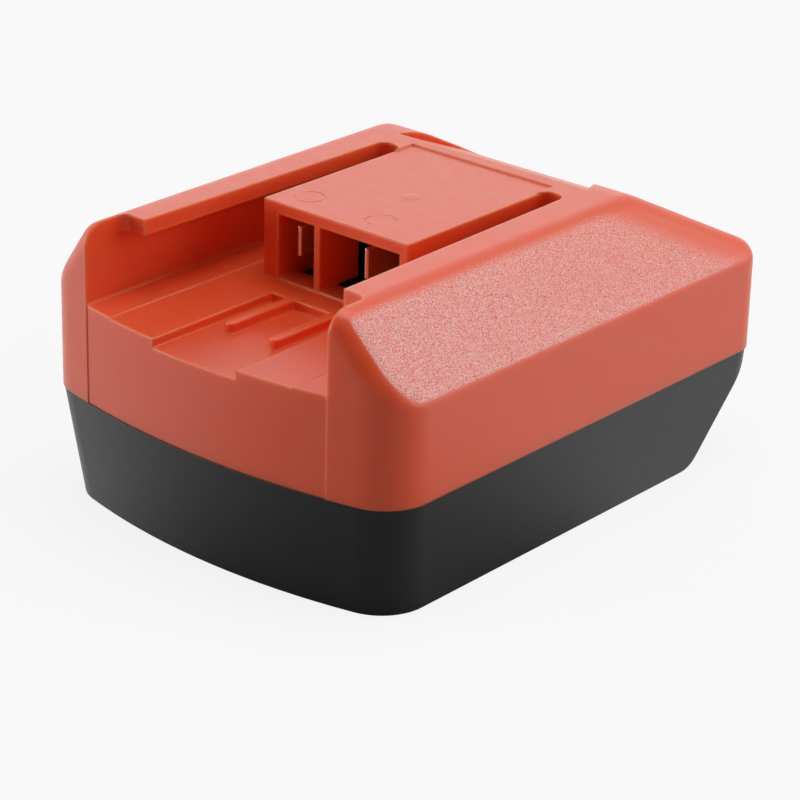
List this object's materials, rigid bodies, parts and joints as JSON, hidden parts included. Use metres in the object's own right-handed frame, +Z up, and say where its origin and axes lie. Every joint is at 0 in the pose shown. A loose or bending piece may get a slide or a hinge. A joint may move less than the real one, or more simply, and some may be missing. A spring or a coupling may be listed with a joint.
{
  "type": "tool battery adapter",
  "caption": "Slide-on battery adapter: orange top with a tool channel and terminal block, dark base with a cavity for a donor pack, and a sprung release latch",
  "frame": {"origin": "centre of the housing's plan, in the plane that it rests on", "axes": "+Z up; the tool channel's mouth faces -Y and the release latch is at +Y; +X to the right"},
  "size_m": [0.077, 0.1014, 0.0507],
  "materials": {
    "orange_plastic": "satin moulded, spark-eroded grain on the side panels",
    "orange_latch_plastic": "satin moulded",
    "dark_plastic": "satin moulded",
    "carrier_plastic": "glass-filled nylon, satin",
    "contact_metal": "tin plated",
    "screw_steel": "zinc plated",
    "spring_steel": "drawn wire",
    "board_laminate": "solder mask",
    "capacitor_can": "sleeved can",
    "component_black": "moulded epoxy",
    "fuse_ceramic": "ceramic",
    "lead_red": "extruded",
    "lead_black": "extruded",
    "lead_white": "extruded"
  },
  "bodies": {
    "housing": {"upper_housing": "orange_plastic", "lower_housing": "dark_plastic", "blade_carrier": "carrier_plastic", "carrier_screws": "screw_steel", "tool_blade_left": "contact_metal", "tool_blade_right": "contact_metal", "pack_terminal_block": "carrier_plastic", "terminal_block_screws": "screw_steel", "pack_blade_positive": "contact_metal", "pack_blade_negative": "contact_metal", "pack_blade_sense": "contact_metal", "circuit_board": "board_laminate", "board_screws": "screw_steel", "board_capacitor": "capacitor_can", "board_transistor": "component_black", "board_fuse": "fuse_ceramic", "board_resistors": "component_black", "lead_pack_positive": "lead_red", "lead_tool_positive": "lead_red", "lead_negative": "lead_black", "lead_sense": "lead_white", "latch_spring_left": "spring_steel", "latch_spring_right": "spring_steel", "housing_screws": "screw_steel"},
    "latch": {"release_latch": "orange_latch_plastic"}
  },
  "joints": [
    {"name": "latch_press", "type": "slide", "parent": "housing", "child": "latch", "axis": [0, 0, -1], "range_m": [0, 0.0045], "stiffness_N_per_m": 1500, "springref_m": -0.004, "deforming": ["latch_spring_left", "latch_spring_right"]}
  ]
}
